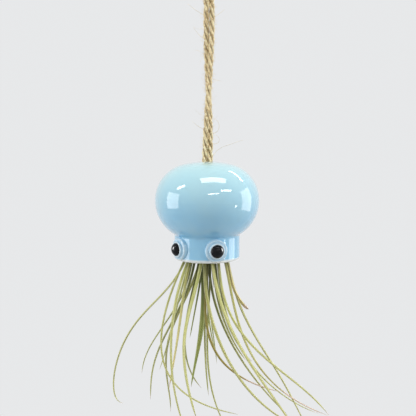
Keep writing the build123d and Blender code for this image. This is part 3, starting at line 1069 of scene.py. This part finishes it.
class GrowLeaves(bpy.types.Operator):
    """Grow the three whorls of thin leaves"""

    bl_idname = "plant_holder.grow_leaves"
    bl_label = "Grow leaves"

    def execute(self, context):
        plant = context.scene.holder_plant
        material = leaf_material(plant)
        for whorl, rows in LEAVES.items():
            bm = bmesh.new()
            layers = {name: bm.verts.layers.float.new(name) for name in LEAF_LAYERS}
            for row in rows:
                grow_blade(bm, plant, whorl, row, layers)
            if whorl == "inner_leaves":
                self.young_leaves(bm, plant, whorl, layers)
            bmesh.ops.recalc_face_normals(bm, faces=bm.faces)
            map_rings(bm, layers["around"], layers["way"])
            new_piece(whorl.replace("leaves", "blades"), bm, material, "air_plant", (whorl,))
        return {"FINISHED"}

    def young_leaves(self, bm, plant, whorl, layers):
        """Short leaves still folded together at the plant's centre."""
        draw = random.Random(5)
        for index in range(YOUNG_LEAVES):
            turn = index * YOUNG_TURN
            way = Vector((math.cos(math.radians(turn)), math.sin(math.radians(turn)), 0))
            reach = draw.uniform(*YOUNG_REACHES)
            drop = draw.uniform(*YOUNG_DROPS)
            row = (
                f"young_{index}",
                YOUNG_WIDTH,
                turn,
                (way.x * 0.012, way.y * 0.012, 0.08),
                (way.x * reach * 0.8, way.y * reach * 0.8, 0.03 - drop / 2),
                (way.x * reach, way.y * reach, -drop),
                0.1,
                0.0,
                0.0,
            )
            grow_blade(bm, plant, whorl, row, layers, YOUNG_STEPS)


class ShapeHeart(bpy.types.Operator):
    """Shape the plant's heart, which the leaf sheaths wrap"""

    bl_idname = "plant_holder.shape_heart"
    bl_label = "Shape heart"

    def execute(self, context):
        bm = bmesh.new()
        layers = {name: bm.verts.layers.float.new(name) for name in LEAF_LAYERS}
        tall = BASE_TOP_Z - DISC_Z
        verts = []
        for radius_share, height_share in HEART_OUTLINE:
            vert = bm.verts.new((base_high.x * radius_share, 0, DISC_Z + tall * height_share))
            vert[layers["way"]] = tall * (1 - height_share)
            verts.append(vert)
        edges = [bm.edges.new(pair) for pair in zip(verts, verts[1:])]
        bmesh.ops.spin(
            bm,
            geom=verts + edges,
            cent=(0, 0, 0),
            axis=(0, 0, 1),
            angle=math.tau,
            steps=HEART_SIDES,
            use_merge=True,
        )
        bmesh.ops.remove_doubles(bm, verts=bm.verts, dist=0.00001)
        # Ribs that wind down it, as overlapping sheaths leave
        for vert in bm.verts:
            turn = math.atan2(vert.co.y, vert.co.x)
            rib = abs(math.sin(turn * HEART_RIBS / 2 + (vert.co.z - DISC_Z) * RIB_WIND))
            scale = 1 - RIB_DEPTH * (1 - rib) + 0.03 * noise.noise(vert.co * 500)
            vert.co.x *= scale
            vert.co.y *= scale
            vert[layers["around"]] = (turn / math.tau) % 1
            vert[layers["along"]] = 0.12
            vert[layers["age"]] = 0.35
        bmesh.ops.recalc_face_normals(bm, faces=bm.faces)
        map_rings(bm, layers["around"], layers["way"])
        leaf = bpy.data.materials["air plant leaf"]
        new_piece("plant_heart", bm, leaf, "air_plant", ("plant_base",))
        return {"FINISHED"}


class SetStage(bpy.types.Operator):
    """Set the camera, the lights, the pale floor and the background"""

    bl_idname = "plant_holder.set_stage"
    bl_label = "Set stage"

    def execute(self, context):
        stage = context.scene.holder_stage
        up = Vector((0, 0, 1))
        camera = bpy.data.objects.new("camera", bpy.data.cameras.new("camera"))
        camera.data.sensor_width = 36
        camera.data.lens = stage.lens
        camera.data.clip_start = 0.01
        camera.location = VIEW_NEAR * stage.distance + up * (BELL_MIDDLE_Z + stage.height)
        aim = math.radians(90) - stage.tilt
        camera.rotation_euler = (aim, 0, VIEW_TURN - VIEW_ASIDE)
        context.scene.collection.objects.link(camera)
        context.scene.camera = camera
        middle = Vector((0, 0, BELL_MIDDLE_Z))
        beads = bpy.data.collections.new("beads")
        for name in ("left_eye_bead", "right_eye_bead"):
            beads.objects.link(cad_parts[name])
        for name, (first, last, thickness, brightness) in LIGHTS.items():
            ends = [VIEW_RIGHT * x + VIEW_NEAR * y + up * z for x, y, z in (first, last)]
            lamp = bpy.data.lights.new(name, "AREA")
            lamp.shape = "RECTANGLE"
            lamp.size = (ends[1] - ends[0]).length * LIGHT_DISTANCE
            lamp.size_y = thickness * LIGHT_DISTANCE
            lamp.energy = brightness * lamp.size * lamp.size_y * math.pi
            holder = bpy.data.objects.new(name, lamp)
            back = ((ends[0] + ends[1]) / 2).normalized()
            across = (ends[1] - ends[0]).normalized()
            across = (across - back * across.dot(back)).normalized()
            turn = Matrix((across, back.cross(across), back)).transposed().to_4x4()
            holder.matrix_world = Matrix.Translation(middle + back * LIGHT_DISTANCE) @ turn
            context.scene.collection.objects.link(holder)
            if name in BEAD_LIGHTS:
                holder.light_linking.receiver_collection = beads
        self.pale_world(context, stage)
        self.lay_floor(stage)
        context.scene.view_settings.view_transform = "Standard"
        return {"FINISHED"}

    def pale_world(self, context, stage):
        """A background that the camera and reflections see pale, and that lights softly."""
        world = bpy.data.worlds.new("studio")
        context.scene.world = world
        world.use_nodes = True
        shade = Shade(world.node_tree)
        background = world.node_tree.nodes["Background"]
        seen = shade.seen()
        way = shade.add("TexCoord").outputs["Generated"]
        level = shade.split(way)["Z"]
        levels = {"Value": level, "From Min": -0.5, "From Max": 0.4, "To Min": 0.06, "To Max": 0.60}
        lit = shade.add("MapRange", levels).outputs[0]
        aside = shade.vector("DOT_PRODUCT", way, VIEW_RIGHT)
        sides = shade.times(shade.rise(shade.math("ABSOLUTE", aside), 0.35, 0.95), 0.75)
        unseen = shade.times(shade.plus(lit, sides), shade.minus(1.0, seen))
        strength = shade.plus(seen, unseen)
        background.inputs["Color"].default_value = (*stage.background, 1)
        world.node_tree.links.new(strength, background.inputs["Strength"])

    def lay_floor(self, stage):
        """A wide pale floor that fades into the background far away."""
        bm = bmesh.new()
        bmesh.ops.create_circle(bm, cap_ends=True, segments=64, radius=9)
        bmesh.ops.translate(bm, vec=(0, 0, -stage.floor_drop), verts=bm.verts)
        material, shade, shader = new_material("pale floor")
        far = shade.rise(shade.axis_distance(shade.split(shade.place())), 0.5, 1.6)
        set_shader(shade, shader, Base_Color=tuple(stage.background), Roughness=0.8)
        strength = shade.plus(shade.times(shade.seen(), 0.88), 0.12)
        glow = shade.add("Emission", {"Color": tuple(stage.background), "Strength": strength}).outputs[0]
        both = shade.add("MixShader", {0: far, 1: shader.outputs[0], 2: glow}).outputs[0]
        shade.tree.links.new(both, shade.tree.nodes["Material Output"].inputs["Surface"])
        floor = new_piece("floor", bm, material)


class HolderPanel(bpy.types.Panel):
    """The holder's pieces and their sizes"""

    bl_idname = "VIEW3D_PT_plant_holder"
    bl_label = "Plant Holder"
    bl_space_type = "VIEW_3D"
    bl_region_type = "UI"
    bl_category = "Plant Holder"

    def draw(self, context):
        for operator in OPERATORS:
            self.layout.operator(operator.bl_idname)
        for name in GROUPS:
            settings = getattr(context.scene, name)
            for prop in settings.bl_rna.properties:
                if prop.identifier not in ("rna_type", "name"):
                    self.layout.prop(settings, prop.identifier)


GROUPS = {
    "holder_twine": HolderTwine,
    "holder_bell": HolderBell,
    "holder_plant": HolderPlant,
    "holder_stage": HolderStage,
}
OPERATORS = (SetStage, TieKnot, HangTwine, DressBell, GrowLeaves, ShapeHeart)
CLASSES = (*GROUPS.values(), *OPERATORS, HolderPanel)


def register():
    """Register the classes and the scene's settings."""
    for cls in CLASSES:
        bpy.utils.register_class(cls)
    for name, group in GROUPS.items():
        setattr(bpy.types.Scene, name, bpy.props.PointerProperty(type=group))


def unregister():
    """Take the classes and settings away again."""
    for name in GROUPS:
        delattr(bpy.types.Scene, name)
    for cls in reversed(CLASSES):
        bpy.utils.unregister_class(cls)


def main():
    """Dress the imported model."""
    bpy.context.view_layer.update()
    register()
    bpy.ops.plant_holder.set_stage()
    bpy.ops.plant_holder.tie_knot()
    bpy.ops.plant_holder.hang_twine()
    bpy.ops.plant_holder.dress_bell()
    bpy.ops.plant_holder.grow_leaves()
    bpy.ops.plant_holder.shape_heart()


if __name__ == "__main__":
    main()
